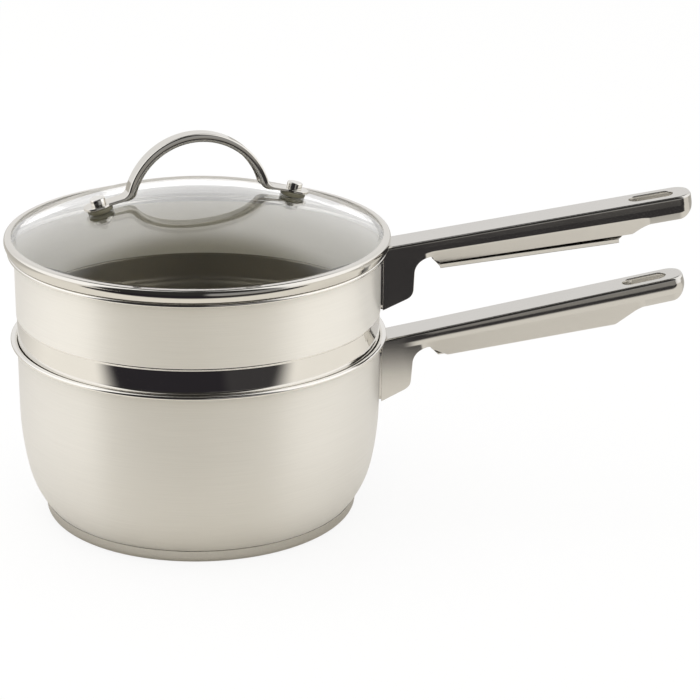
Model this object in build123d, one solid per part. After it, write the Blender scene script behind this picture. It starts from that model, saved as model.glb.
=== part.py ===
from build123d import *
import math
import os

# Double boiler: a bellied saucepan, an upper pan that nests in its rim, and a domed glass lid.
# Millimetres, +Z up, origin on the pans' axis where the base rests, pan handles along +X.

# Sheet and shape shared by both pans
wall_radius = 90.0
wall_thickness = 0.8
rim_overhang = 3.2
rim_radius = wall_radius + rim_overhang
bead_radius = 1.1

# Lower pan: base, belly and rim
lower_rim_height = 91.2
base_inset = 12.2
base_radius = wall_radius - base_inset
base_height = 6.0
cap_thickness = 0.5
cap_edge_radius = 2.4
core_thickness = 4.1
base_fit_gap = 0.05
belly_height = 56.0
belly_radius = 150.0
belly_turn = 12.0

# Upper pan: wall, polished band, ledge and bowl, placed from the lower rim that carries it
upper_pan_rise = 45.0
upper_rim_height = lower_rim_height + upper_pan_rise
band_height = 11.4
band_top_height = lower_rim_height + band_height
band_step = 0.3
band_step_rise = 0.5
band_step_radius = 1.0
seat_corner_radius = 2.4
seat_gap = 0.3
bowl_inset = 7.0
bowl_radius = wall_radius - bowl_inset
bowl_depth = 41.2
bowl_floor_height = lower_rim_height - bowl_depth
bowl_corner_radius = 12.0
ledge_bend_radius = 2.0

# Pan handles: folded sheet, in a frame that starts at the wall's outside and runs out along the top
handle_length = 155.3
handle_width = 18.6
handle_sheet = 1.2
handle_top_edge_radius = 2.0
fold_depth_near = 6.1
fold_depth_far = 7.9
fold_radius = 2.5
grip_start = 22.4
grip_depth_near = 16.9
grip_depth_far = 20.9
keel_width = 4.4
keel_edge_radius = 3.0
grip_mouth_slant = 56.0
skirt_reach = 9.7
skirt_corner_depth = 27.0
skirt_corner_radius = 4.0
skirt_rake = 16.3
neck_depth = 8.7
neck_radius = 7.0
weld_lip_width = 4.2
tail_length = 23.3
tail_start = handle_length - tail_length
tail_depth = 11.4
tail_slant = 31.0
nose_plan_radius = 8.0
nose_drop_radius = 8.0
slot_length = 22.5
slot_width = 9.2
slot_end_margin = 8.4
seam_width = 0.6
upper_handle_tilt = 9.73
lower_handle_tilt = 11.96
upper_handle_drop = 1.1
lower_handle_drop = 4.25
upper_seam_offset = -2.7
lower_seam_offset = 0.8

# Curved plates that join the handles to the pans
weld_plate_thickness = 1.1
weld_plate_width = 17.2
weld_plate_overhang = 3.0
weld_plate_top_drop = 5.0
weld_plate_corner_radius = 3.0
weld_gap = 0.1

# Lid: glass and its steel band, placed from the upper rim that carries them
lid_seat_gap = 0.3
lid_overhang = 1.5
lid_band_radius = rim_radius + lid_overhang
lid_lip_width = 3.7
lid_band_lip_radius = lid_band_radius - lid_lip_width
lid_band_thickness = 0.7
lid_band_top_radius = 1.8
lid_band_bottom_radius = 1.2
glass_thickness = 4.6
glass_gap = 0.15
glass_edge_radius = 1.2
dome_inset = 4.1
dome_radius = lid_band_radius - dome_inset
dome_rise = 20.35

# Lid handle: arched strip with rolled-down sides and flat feet
lid_handle_azimuth = 14.6
arch_radius = 36.5
arch_centre_drop = 6.6
arch_width = 9.0
arch_depth = 4.0
arch_sheet = 1.4
arch_foot_bend = 5.0
arch_flange_bend = 9.0
arch_edge_radius = 0.9
channel_end_rise = 8.3
foot_radius = 6.0
foot_reach = 1.7
foot_thickness = 1.4

# Fastening of each lid handle foot, from the cap nut down to the screw
hole_place = 48.3
glass_hole_radius = 3.3
cap_nut_radius = 3.8
cap_nut_height = 3.2
cap_nut_edge = 0.5
cap_nut_bore_depth = 2.2
seal_radius = 6.2
upper_seal_thickness = 2.2
seal_collar_wall = 0.9
seal_collar_length = 3.4
lower_seal_thickness = 1.0
washer_radius = 5.5
washer_thickness = 0.8
screw_radius = 2.0
screw_gap = 0.05
screw_head_radius = 3.9
screw_head_height = 2.2
screw_head_edge = 0.8
recess_width = 0.9
recess_length = 4.4
recess_depth = 1.2
stack_gap = 0.12

# Length by which a cutting solid runs past what it cuts
overrun = 2.0


def unit(vector):
    """Direction of a 2-D vector."""
    length = math.hypot(vector[0], vector[1])
    return (vector[0] / length, vector[1] / length)


def along(point, direction, distance):
    """Point at a distance from another one."""
    return (point[0] + direction[0] * distance, point[1] + direction[1] * distance)


def rounded_edges(corners, closed):
    """Lines and arcs through (x, y, radius) corners, each turned with its own radius."""
    count = len(corners)
    edges = []
    last = None
    first = None
    for i, (x, y, radius) in enumerate(corners):
        here = (x, y)
        inner = closed or 0 < i < count - 1
        if inner and radius > 0:
            before = unit((corners[i - 1][0] - x, corners[i - 1][1] - y))
            after_corner = corners[(i + 1) % count]
            after = unit((after_corner[0] - x, after_corner[1] - y))
            half = math.acos(max(-1, min(1, before[0] * after[0] + before[1] * after[1]))) / 2
            start = along(here, before, radius / math.tan(half))
            end = along(here, after, radius / math.tan(half))
            towards = unit((before[0] + after[0], before[1] + after[1]))
            middle = along(here, towards, radius / math.sin(half) - radius)
            arc = ThreePointArc(start, middle, end)
        else:
            start = end = here
            arc = None
        if last is not None and math.dist(last, start) > wall_thickness / 1000:
            edges.append(Line(last, start))
        if last is None:
            first = start
        if arc is not None:
            edges.append(arc)
        last = end
    if closed and math.dist(last, first) > wall_thickness / 1000:
        edges.append(Line(last, first))
    return edges


def offset_corners(corners, distance):
    """Corners of the path that lies to the left of an open path, with bends on the same centres."""
    shifted = []
    count = len(corners)
    for i, (x, y, radius) in enumerate(corners):
        directions = []
        if i > 0:
            directions.append(unit((x - corners[i - 1][0], y - corners[i - 1][1])))
        if i < count - 1:
            directions.append(unit((corners[i + 1][0] - x, corners[i + 1][1] - y)))
        first = directions[0]
        second = directions[-1]
        turn = first[0] * second[1] - first[1] * second[0]
        scale = distance / (1 + first[0] * second[0] + first[1] * second[1])
        new_x = x - (first[1] + second[1]) * scale
        new_y = y + (first[0] + second[0]) * scale
        if radius > 0:
            radius = radius - math.copysign(distance, turn)
        shifted.append((new_x, new_y, radius))
    return shifted


def sheet_face(corners, thickness):
    """Face of a bent sheet whose outside is the path and whose thickness lies to its left."""
    inside = offset_corners(corners, thickness)[::-1]
    outer = rounded_edges(corners, False)
    inner = rounded_edges(inside, False)
    start, end = corners[0][:2], corners[-1][:2]
    closing = [Line(end, inside[0][:2]), Line(inside[-1][:2], start)]
    return make_face(Curve() + outer + inner + closing)


def closed_face(corners):
    """Face inside a closed outline of rounded corners."""
    return make_face(Curve() + rounded_edges(corners, True))


def turned(face):
    """Solid turned about the pans' axis from a face of radius and height."""
    return revolve(Plane.XZ * face, Axis.Z)


def slab(face, width):
    """Solid of a side-view face, with its width shared by both sides of the XZ plane."""
    return extrude(Plane.XZ * face, amount=width / 2, both=True)


def ring(inner_radius, outer_radius, low, high):
    """Upright tube about the pans' axis."""
    height = high - low
    tube = Cylinder(outer_radius, height) - Cylinder(inner_radius, height + overrun)
    return Pos(0, 0, low + height / 2) * tube


# Radius and centre of the bend from a pan's wall out to the rim's bead, on the wall's inner side
flare_centre_radius = rim_radius - bead_radius
flare_radius = flare_centre_radius - wall_radius + wall_thickness


def quarter_arc(centre, radius):
    """Arc from the left of a circle over to its top."""
    x, y = centre
    middle = along(centre, unit((-1, 1)), radius)
    return ThreePointArc((x - radius, y), middle, (x, y + radius))


def rim_face(top):
    """Section of a pan's rim: a flare from the straight wall into a round bead."""
    start = top - flare_radius
    centre = (flare_centre_radius, start)
    under_radius = flare_radius - wall_thickness
    flare = [
        quarter_arc(centre, flare_radius),
        Line((flare_centre_radius, top), (flare_centre_radius, start + under_radius)),
        quarter_arc(centre, under_radius),
        Line((wall_radius, start), (wall_radius - wall_thickness, start)),
    ]
    bead = Pos(flare_centre_radius, top - bead_radius) * Circle(bead_radius)
    return make_face(Curve() + flare) + bead


# Height of the lower pan's floor, on top of the base's cap and core
pan_floor_height = cap_thickness + core_thickness


def belly_corners():
    """Corners of the belly, from the floor up: three bends that run into each other."""
    first_turn = math.radians(belly_turn)
    tangent = belly_radius * math.tan(first_turn / 2)
    top_corner = (wall_radius, belly_height - tangent)
    slope = (-math.sin(first_turn), -math.cos(first_turn))
    joint = along(top_corner, slope, tangent)
    chord = (joint[0] - base_radius, joint[1] - base_height)
    second_turn = 2 * (math.atan2(chord[0], chord[1]) - first_turn)
    lower_radius = math.hypot(*chord) / (2 * math.sin(second_turn / 2))
    middle_corner = along(joint, slope, lower_radius * math.tan(second_turn / 2))
    last_angle = first_turn + second_turn
    last_slope = (-math.sin(last_angle), -math.cos(last_angle))
    floor_radius = (base_height - pan_floor_height) / (1 - math.sin(last_angle))
    last_turn = math.pi / 2 - last_angle
    floor_corner = along((base_radius, base_height), last_slope, floor_radius * math.tan(last_turn / 2))
    return [
        (floor_corner[0], pan_floor_height, floor_radius),
        (middle_corner[0], middle_corner[1], lower_radius),
        (top_corner[0], top_corner[1], belly_radius),
    ]


def lower_pan_body():
    """Bellied saucepan pressed from one sheet, with a beaded rim."""
    path = [(0, pan_floor_height, 0)] + belly_corners()
    path.append((wall_radius, lower_rim_height - flare_radius, 0))
    return turned(sheet_face(path, wall_thickness) + rim_face(lower_rim_height))


def base_cap():
    """Shallow steel cup that closes the base."""
    radius = base_radius + base_fit_gap + cap_thickness
    path = [(0, 0, 0), (radius, 0, cap_edge_radius), (radius, base_height, 0)]
    return turned(sheet_face(path, cap_thickness))


def base_core():
    """Aluminium disc between the pan's floor and the cap."""
    disc = Cylinder(base_radius, core_thickness)
    edge = disc.edges().filter_by(GeomType.CIRCLE).sort_by(Axis.Z)[0]
    disc = fillet(edge, cap_edge_radius - cap_thickness)
    return Pos(0, 0, cap_thickness + core_thickness / 2) * disc


# The band's outside radius, and the height where its corner starts when it rests in the lower flare
band_radius = wall_radius - band_step
seat_run = flare_centre_radius - (band_radius - seat_corner_radius)
seat_reach = flare_radius + seat_corner_radius + seat_gap
seat_height = lower_rim_height - flare_radius + math.sqrt(seat_reach ** 2 - seat_run ** 2)
ledge_height = seat_height - seat_corner_radius


def upper_pan_body():
    """Nesting pan pressed from one sheet: bowl, ledge, polished band, wall and beaded rim."""
    path = [
        (0, bowl_floor_height, 0),
        (bowl_radius, bowl_floor_height, bowl_corner_radius),
        (bowl_radius, ledge_height, ledge_bend_radius),
        (band_radius, ledge_height, seat_corner_radius),
        (band_radius, band_top_height, band_step_radius),
        (wall_radius, band_top_height + band_step_rise, band_step_radius),
    ]
    path.append((wall_radius, upper_rim_height - flare_radius, 0))
    return turned(sheet_face(path, wall_thickness) + rim_face(upper_rim_height))


def grip_corners(depth, fold_depth, inset):
    """Cross-section of the closed grip, seen along the handle: top, folded sides and keel."""
    half = handle_width / 2
    keel = keel_width / 2
    right = [
        (0, -depth, 0),
        (keel, -depth, keel_edge_radius),
        (half, -fold_depth, fold_radius),
        (half, 0, handle_top_edge_radius),
        (0, 0, 0),
    ]
    right = offset_corners(right, inset)[1:-1]
    left = [(-x, y, radius) for x, y, radius in right[::-1]]
    return right + left


def grip_solid(inset):
    """Tapered grip from its mouth near the pan to the start of the tail."""
    near = grip_start - skirt_reach
    stations = [(near, 0), (tail_start, 1)]
    faces = []
    for place, share in stations:
        depth = grip_depth_near + (grip_depth_far - grip_depth_near) * share
        fold_depth = fold_depth_near + (fold_depth_far - fold_depth_near) * share
        section = closed_face(grip_corners(depth, fold_depth, inset))
        plane = Plane(origin=(place, 0, 0), x_dir=(0, 1, 0), z_dir=(1, 0, 0))
        faces.append(plane * section)
    return loft(faces, ruled=True)


def channel_solid(start, end, depth, inset, nose_radius):
    """Stretch of square channel with rounded top edges, and a nose rounded in plan if it has a radius."""
    half = handle_width / 2 - inset
    edge = handle_top_edge_radius - inset
    corners = [(half, -depth, 0), (half, -inset, edge), (-half, -inset, edge), (-half, -depth, 0)]
    plane = Plane(origin=(start, 0, 0), x_dir=(0, 1, 0), z_dir=(1, 0, 0))
    solid = extrude(plane * closed_face(corners), amount=end - start)
    if nose_radius > 0:
        plan = closed_face([
            (start - overrun, -half, 0),
            (end, -half, nose_radius),
            (end, half, nose_radius),
            (start - overrun, half, 0),
        ])
        solid = solid & Pos(0, 0, -depth - overrun) * extrude(plan, amount=depth + overrun * 2)
    return solid


def handle_side_view():
    """Outline that trims the handle in side view: skirt, neck, grip mouth, tail and nose."""
    rake = math.tan(math.radians(skirt_rake))
    low = grip_depth_far + overrun
    root = -(skirt_corner_depth + overrun)
    mouth_run = (low - neck_depth) / math.tan(math.radians(grip_mouth_slant))
    slant_run = (low - tail_depth) / math.tan(math.radians(tail_slant))
    corners = [
        (root, overrun, 0),
        (root, -skirt_corner_depth - (skirt_reach - root) * rake, 0),
        (skirt_reach, -skirt_corner_depth, skirt_corner_radius),
        (skirt_reach + (skirt_corner_depth - neck_depth) * rake, -neck_depth, neck_radius),
        (grip_start, -neck_depth, 0),
        (grip_start + mouth_run, -low, 0),
        (tail_start - slant_run, -low, 0),
        (tail_start, -tail_depth, 0),
        (handle_length, -tail_depth, nose_drop_radius),
        (handle_length, overrun, 0),
    ]
    return closed_face(corners)


def placed_on_pan(part, rim_height, drop, tilt):
    """Part of a handle moved from the handle's own frame to its pan."""
    return Pos(wall_radius, 0, rim_height - drop) * Rot(0, -tilt, 0) * part


def handle_shell(rim_height, drop, tilt, seam_offset):
    """Handle folded from one sheet: skirt, grip with a seam below, open tail with a hanging slot."""
    deep = skirt_corner_depth * 2
    root = -(skirt_corner_depth + overrun)
    trim = slab(handle_side_view(), handle_width + overrun)
    outer = grip_solid(0)
    outer += channel_solid(root, grip_start, deep, 0, 0)
    outer += channel_solid(tail_start, handle_length, tail_depth, 0, nose_plan_radius)
    inner = grip_solid(handle_sheet)
    inner += channel_solid(root - overrun, grip_start, deep + overrun, handle_sheet, 0)
    inner_end = handle_length - handle_sheet
    nose = nose_plan_radius - handle_sheet
    inner += channel_solid(tail_start, inner_end, tail_depth + overrun, handle_sheet, nose)
    shell = (outer & trim) - inner
    slot_centre = handle_length - slot_end_margin - slot_length / 2
    slot = extrude(SlotOverall(slot_length, slot_width), amount=handle_sheet + overrun, both=True)
    seam_cut_depth = grip_depth_far - fold_depth_near
    seam = Box(tail_start, seam_width, seam_cut_depth)
    seam = Pos(tail_start / 2 + skirt_reach, seam_offset, -fold_depth_far - seam_cut_depth / 2) * seam
    shell = shell - Pos(slot_centre, 0, 0) * slot - seam
    shell = placed_on_pan(shell, rim_height, drop, tilt)
    envelope = placed_on_pan(channel_solid(root, grip_start, deep, 0, 0) & trim, rim_height, drop, tilt)
    return finished_at_wall(shell, envelope, rim_height)


def finished_at_wall(shell, envelope, rim_height):
    """Handle cut to the pan's wall and clear of the rim, with lips turned in along the skirt's ends."""
    lip_radius = wall_radius + weld_plate_thickness + weld_gap * 2
    low = 0
    wall_space = ring(0, lip_radius, low, rim_height + skirt_reach)
    lips = envelope & ring(lip_radius, lip_radius + handle_sheet, low, rim_height)
    gap_width = handle_width - weld_lip_width * 2
    lips -= Pos(wall_radius, 0, rim_height / 2) * Box(handle_width * 2, gap_width, rim_height * 2)
    rim_low = rim_height - bead_radius * 2 - seat_gap
    rim_space = ring(0, rim_radius + seat_gap, rim_low, rim_height + skirt_reach)
    return shell - wall_space + lips - rim_space


def weld_plate(rim_height, drop, tilt):
    """Plate curved to the wall, between the pan and the lips of the handle's skirt."""
    rake = math.tan(math.radians(skirt_rake))
    fall = skirt_corner_depth + skirt_reach * rake
    bottom = rim_height - drop - fall * math.cos(math.radians(tilt)) - weld_plate_overhang
    top = rim_height - drop - weld_plate_top_drop
    middle = (top + bottom) / 2
    face = RectangleRounded(weld_plate_width, top - bottom, weld_plate_corner_radius)
    front = Plane(origin=(0, 0, middle), x_dir=(0, 1, 0), z_dir=(1, 0, 0))
    block = extrude(front * face, amount=rim_radius + overrun)
    inner = wall_radius + weld_gap
    return block & ring(inner, inner + weld_plate_thickness, bottom - overrun, top + overrun)


# Heights of the lid's band, glass and arched handle, from the upper rim that carries them
lid_band_bottom = upper_rim_height + lid_seat_gap
glass_bottom = lid_band_bottom + lid_band_thickness + glass_gap
flange_top = glass_bottom + glass_thickness
lid_band_top = flange_top + glass_gap + lid_band_thickness
dome_sphere = (dome_radius ** 2 + dome_rise ** 2) / (2 * dome_rise)
dome_top = flange_top + dome_rise
dome_centre = dome_top - dome_sphere
arch_centre_height = dome_top - arch_centre_drop
channel_end_height = arch_centre_height + channel_end_rise
hole_tilt = math.asin(hole_place / dome_sphere)
hole_height = dome_centre + dome_sphere * math.cos(hole_tilt)


def lid_rim_band():
    """Steel strip rolled round the glass edge."""
    path = [
        (lid_band_lip_radius, lid_band_bottom, 0),
        (lid_band_radius, lid_band_bottom, lid_band_bottom_radius),
        (lid_band_radius, lid_band_top, lid_band_top_radius),
        (lid_band_lip_radius, lid_band_top, 0),
    ]
    return turned(sheet_face(path, lid_band_thickness))


def dome_arc(radius, end_height):
    """Arc of the glass from the axis down to a height, on the dome's centre."""
    end_radius = math.sqrt(radius ** 2 - (end_height - dome_centre) ** 2)
    half = math.asin(end_radius / radius) / 2
    middle = (radius * math.sin(half), dome_centre + radius * math.cos(half))
    return ThreePointArc((0, dome_centre + radius), middle, (end_radius, end_height))


def at_lid_hole(part, side):
    """Part moved from the top of the glass at the axis to a hole, square to the dome."""
    turn = lid_handle_azimuth + (0 if side == "right" else 180)
    return Rot(0, 0, turn) * Pos(hole_place, 0, hole_height) * Rot(0, math.degrees(hole_tilt), 0) * part


def lid_glass():
    """Domed glass with a flat edge and two holes for the handle."""
    edge_radius = lid_band_radius - lid_band_thickness - glass_gap
    top_arc = dome_arc(dome_sphere, flange_top)
    low_arc = dome_arc(dome_sphere - glass_thickness, glass_bottom)
    edges = [
        top_arc,
        Line(top_arc @ 1, (edge_radius, flange_top)),
        Line((edge_radius, flange_top), (edge_radius, glass_bottom)),
        Line((edge_radius, glass_bottom), low_arc @ 1),
        low_arc,
        Line(low_arc @ 0, top_arc @ 0),
    ]
    glass = turned(make_face(Curve() + edges))
    rims = glass.edges().filter_by(
        lambda edge: edge.geom_type == GeomType.CIRCLE and edge.radius > edge_radius - glass_gap
    )
    glass = fillet(rims, glass_edge_radius)
    for side in ("left", "right"):
        hole = Cylinder(glass_hole_radius, glass_thickness * 2 + overrun)
        glass -= at_lid_hole(hole, side)
    return glass


def bend_centre(circle_radius, bend_radius, foot_line_height):
    """Centre of the bend that joins the arch to a line along the foot, both seen from the side."""
    reach = circle_radius + bend_radius
    lift = foot_line_height + bend_radius
    normal = (math.sin(hole_tilt), math.cos(hole_tilt))
    level = (
        hole_place * normal[0] + (hole_height - arch_centre_height) * normal[1] + lift
    )
    along_foot = math.sqrt(reach ** 2 - level ** 2)
    x = along_foot * normal[1] + level * normal[0]
    y = -along_foot * normal[0] + level * normal[1]
    return (x, y + arch_centre_height)


def arch_half_edges(radius, bend_radius, foot_line_height):
    """Half of the arch's side view from its top: arch, bend and foot line, as points to join."""
    centre = bend_centre(radius, bend_radius, foot_line_height)
    towards = unit((centre[0], centre[1] - arch_centre_height))
    joint = (towards[0] * radius, arch_centre_height + towards[1] * radius)
    normal = (math.sin(hole_tilt), math.cos(hole_tilt))
    foot_start = along(centre, normal, -bend_radius)
    foot_slope = (normal[1], -normal[0])
    foot_point = along((hole_place, hole_height), normal, foot_line_height)
    foot_end = along(foot_point, foot_slope, foot_reach + foot_radius + overrun)
    half_angle = math.atan2(towards[0], towards[1]) / 2
    arch_middle = (radius * math.sin(half_angle), arch_centre_height + radius * math.cos(half_angle))
    bend_towards = unit((-towards[0] - normal[0], -towards[1] - normal[1]))
    bend_middle = along(centre, bend_towards, bend_radius)
    return [
        ThreePointArc((0, arch_centre_height + radius), arch_middle, joint),
        ThreePointArc(joint, bend_middle, foot_start),
        Line(foot_start, foot_end),
    ]


def lid_handle():
    """Arched strip whose sides are rolled down, with flat round feet on the seals."""
    upper = arch_half_edges(arch_radius, arch_foot_bend, upper_seal_thickness + foot_thickness)
    lower = arch_half_edges(arch_radius - arch_depth, arch_flange_bend, upper_seal_thickness)
    closing = [Line(upper[0] @ 0, lower[0] @ 0), Line(upper[2] @ 1, lower[2] @ 1)]
    half_view = make_face(Curve() + upper + lower + closing)
    half = slab(half_view, foot_radius * 2)
    strip = half + mirror(half, Plane.YZ)
    plan = Rectangle(hole_place * 2, arch_width)
    foot_plan = SlotOverall(foot_reach + foot_radius * 2, foot_radius * 2)
    for side in (-1, 1):
        plan += Pos(side * (hole_place + foot_reach / 2), 0) * foot_plan
    strip &= Pos(0, 0, hole_height - arch_radius) * extrude(plan, amount=arch_radius * 3)
    tall_edges = strip.edges().filter_by(GeomType.CIRCLE).filter_by(
        lambda edge: abs(edge.radius - arch_radius) < arch_edge_radius / 10
    )
    strip = fillet(tall_edges, arch_edge_radius)
    channel = Circle(arch_radius - arch_sheet)
    channel = slab(Pos(0, arch_centre_height) * channel, arch_width - arch_sheet * 2)
    lowest = Pos(0, 0, channel_end_height + arch_radius) * Box(
        arch_radius * 2, arch_width, arch_radius * 2
    )
    strip -= channel & lowest
    strip = Rot(0, 0, lid_handle_azimuth) * strip
    bore = Cylinder(screw_radius + screw_gap * 2, arch_radius)
    for side in ("left", "right"):
        strip -= at_lid_hole(bore, side)
    return strip


def lid_upper_seal(side):
    """Seal under a foot, with a collar that lines the glass hole."""
    flange = Pos(0, 0, upper_seal_thickness / 2) * Cylinder(seal_radius, upper_seal_thickness - stack_gap)
    collar_radius = screw_radius + screw_gap * 2 + seal_collar_wall
    collar_top = upper_seal_thickness / 2
    collar_height = seal_collar_length + collar_top
    collar = Pos(0, 0, collar_top - collar_height / 2) * Cylinder(collar_radius, collar_height)
    bore = Cylinder(screw_radius + screw_gap * 2, glass_thickness * 3)
    return at_lid_hole(flange + collar - bore, side)


def lid_lower_seal(side):
    """Flat seal below the glass."""
    washer = Cylinder(seal_radius, lower_seal_thickness)
    washer -= Cylinder(screw_radius + screw_gap * 2, lower_seal_thickness + overrun)
    return at_lid_hole(Pos(0, 0, -lower_stack_height(lower_seal_thickness / 2)) * washer, side)


def lower_stack_height(below):
    """Depth under the glass top of a place in the stack below the glass."""
    return glass_thickness + stack_gap + below


def lid_washer(side):
    """Steel washer between the lower seal and the screw head."""
    washer = Cylinder(washer_radius, washer_thickness)
    washer -= Cylinder(screw_radius + screw_gap * 2, washer_thickness + overrun)
    place = lower_stack_height(lower_seal_thickness + washer_thickness / 2)
    return at_lid_hole(Pos(0, 0, -place) * washer, side)


# Height above the glass top of the face that the cap nut stands on
foot_top = upper_seal_thickness + foot_thickness


def lid_cap_nut(side):
    """Round cap nut on top of a foot, bored from below for the screw."""
    nut = Cylinder(cap_nut_radius, cap_nut_height)
    edge = nut.edges().filter_by(GeomType.CIRCLE).sort_by(Axis.Z)[-1]
    nut = Pos(0, 0, foot_top + cap_nut_height / 2) * fillet(edge, cap_nut_edge)
    bore = Cylinder(screw_radius + screw_gap, cap_nut_bore_depth * 2)
    return at_lid_hole(nut - Pos(0, 0, foot_top) * bore, side)


def lid_screw(side):
    """Pan-head screw from below the washer up into the cap nut."""
    head_top = -lower_stack_height(lower_seal_thickness + washer_thickness)
    tip = foot_top + cap_nut_bore_depth - stack_gap
    head = Pos(0, 0, head_top - screw_head_height / 2) * Cylinder(screw_head_radius, screw_head_height)
    edge = head.edges().filter_by(GeomType.CIRCLE).sort_by(Axis.Z)[0]
    head = fillet(edge, screw_head_edge)
    shank = Pos(0, 0, (head_top + tip) / 2) * Cylinder(screw_radius, tip - head_top)
    screw = head + shank
    for turn in (0, 90):
        blade = Box(recess_length, recess_width, recess_depth * 2)
        screw -= Pos(0, 0, head_top - screw_head_height) * Rot(0, 0, turn) * blade
    return at_lid_hole(screw, side)


def all_nodes():
    """Every sub-part by its node name."""
    nodes = {
        "lower_pan_body": lower_pan_body(),
        "base_core": base_core(),
        "base_cap": base_cap(),
        "upper_pan_body": upper_pan_body(),
        "lid_glass": lid_glass(),
        "lid_rim_band": lid_rim_band(),
        "lid_handle": lid_handle(),
    }
    pans = {
        "lower": (lower_rim_height, lower_handle_drop, lower_handle_tilt, lower_seam_offset),
        "upper": (upper_rim_height, upper_handle_drop, upper_handle_tilt, upper_seam_offset),
    }
    for pan, (rim_height, drop, tilt, seam_offset) in pans.items():
        nodes[f"{pan}_handle_shell"] = handle_shell(rim_height, drop, tilt, seam_offset)
        nodes[f"{pan}_handle_weld_plate"] = weld_plate(rim_height, drop, tilt)
    for side in ("left", "right"):
        nodes[f"lid_cap_nut_{side}"] = lid_cap_nut(side)
        nodes[f"lid_upper_seal_{side}"] = lid_upper_seal(side)
        nodes[f"lid_lower_seal_{side}"] = lid_lower_seal(side)
        nodes[f"lid_washer_{side}"] = lid_washer(side)
        nodes[f"lid_screw_{side}"] = lid_screw(side)
    return nodes


os.makedirs("parts", exist_ok=True)
for node, part in all_nodes().items():
    export_step(part, f"parts/{node}.step")
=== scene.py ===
import math
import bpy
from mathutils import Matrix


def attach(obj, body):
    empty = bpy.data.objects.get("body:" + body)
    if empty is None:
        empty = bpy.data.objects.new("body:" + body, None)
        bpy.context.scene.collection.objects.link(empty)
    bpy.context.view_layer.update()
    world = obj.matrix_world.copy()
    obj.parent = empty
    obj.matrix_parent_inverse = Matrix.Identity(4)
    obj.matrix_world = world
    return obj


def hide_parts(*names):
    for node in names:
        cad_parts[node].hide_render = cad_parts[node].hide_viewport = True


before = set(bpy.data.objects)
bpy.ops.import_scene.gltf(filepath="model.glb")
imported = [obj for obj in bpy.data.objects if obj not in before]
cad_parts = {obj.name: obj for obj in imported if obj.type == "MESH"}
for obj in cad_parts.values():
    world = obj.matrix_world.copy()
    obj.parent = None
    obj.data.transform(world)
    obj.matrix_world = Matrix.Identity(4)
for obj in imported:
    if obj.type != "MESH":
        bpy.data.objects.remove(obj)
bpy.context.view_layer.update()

import types

import bmesh
import bpy
import numpy as np
from bpy.props import FloatProperty, FloatVectorProperty, IntProperty, PointerProperty
from mathutils import Matrix

bl_info = {
    "name": "Double Boiler",
    "version": (1, 0, 0),
    "blender": (4, 5, 0),
    "location": "3D View > Sidebar > Double Boiler",
    "description": "Saucepan, nesting upper pan and domed glass lid, dressed round a packed frame",
    "category": "Object",
}

# Shapes are worked out in millimetres and stored in metres
MM = 0.001
# Points nearer to each other than this many metres are one point
MERGE = 4e-7
TINY = 1e-12
FULL_TURN = 2 * math.pi
QUARTER_TURN = math.pi / 2
# Half the angle at a corner, in radians, above which it is nearly straight, and the least cut-back there
NEARLY_STRAIGHT = 1.4
LEAST_CUT = 0.3
# Share of a straight run that the extra point at its end may take
RUN_SHARE = 0.3
# Degrees round the lid's axis at which each foot of its handle stands
SIDES = {"left": 180, "right": 0}
# Finish numbers of a pan's faces; the last is the deep inside, made darker with painted shade
WALL, RIM, INSIDE, SHADED_DEPTH = range(4)


def length(name, millimetres, description):
    """A length setting with its default in millimetres."""
    default = millimetres * MM
    return FloatProperty(name=name, description=description, default=default, unit="LENGTH", precision=4)


def angle(name, degrees, description):
    """An angle setting with its default in degrees."""
    return FloatProperty(name=name, description=description, default=math.radians(degrees), unit="ROTATION")


def share(name, value, description):
    """A setting from 0 to 1."""
    return FloatProperty(name=name, description=description, default=value, min=0, max=1, subtype="FACTOR")


def colour(name, value, description):
    """A colour setting."""
    facts = {"min": 0, "max": 1, "size": 3, "subtype": "COLOR"}
    return FloatVectorProperty(name=name, description=description, default=value, **facts)


class PanSettings(bpy.types.PropertyGroup):
    wall_radius: length("Wall radius", 90, "Outside radius of both pans' straight walls")
    sheet: length("Sheet", 0.8, "Thickness of the pans' sheet")
    rim_radius: length("Rim radius", 93.2, "Outside radius of the rounded rims")
    bead_radius: length("Rim bead", 1.1, "Radius of the round bead along a rim")
    lower_rim: length("Lower rim height", 91.2, "Top of the lower pan's rim")
    upper_rim: length("Upper rim height", 136.2, "Top of the upper pan's rim")
    base_radius: length("Base radius", 77.8, "Radius where the belly meets the base")
    base_height: length("Base height", 6, "Height of the base cap")
    cap_sheet: length("Cap sheet", 0.5, "Thickness of the base cap's sheet")
    floor_height: length("Floor height", 4.6, "Underside of the lower pan's floor")
    belly_height: length("Belly height", 56, "Height where the belly meets the straight wall")
    belly_radius: length("Belly radius", 150, "Radius of the belly's upper bend")
    belly_turn: angle("Belly turn", 12, "Turn of the belly's upper bend")
    band_top: length("Band top", 102.6, "Top of the polished band on the upper pan")
    bowl_radius: length("Bowl radius", 83, "Outside radius of the part that hangs in the lower pan")
    bowl_floor: length("Bowl floor", 50, "Underside of the upper pan's floor")
    ledge: length("Ledge height", 88.78, "Underside of the ledge that rests on the lower rim")


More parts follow.
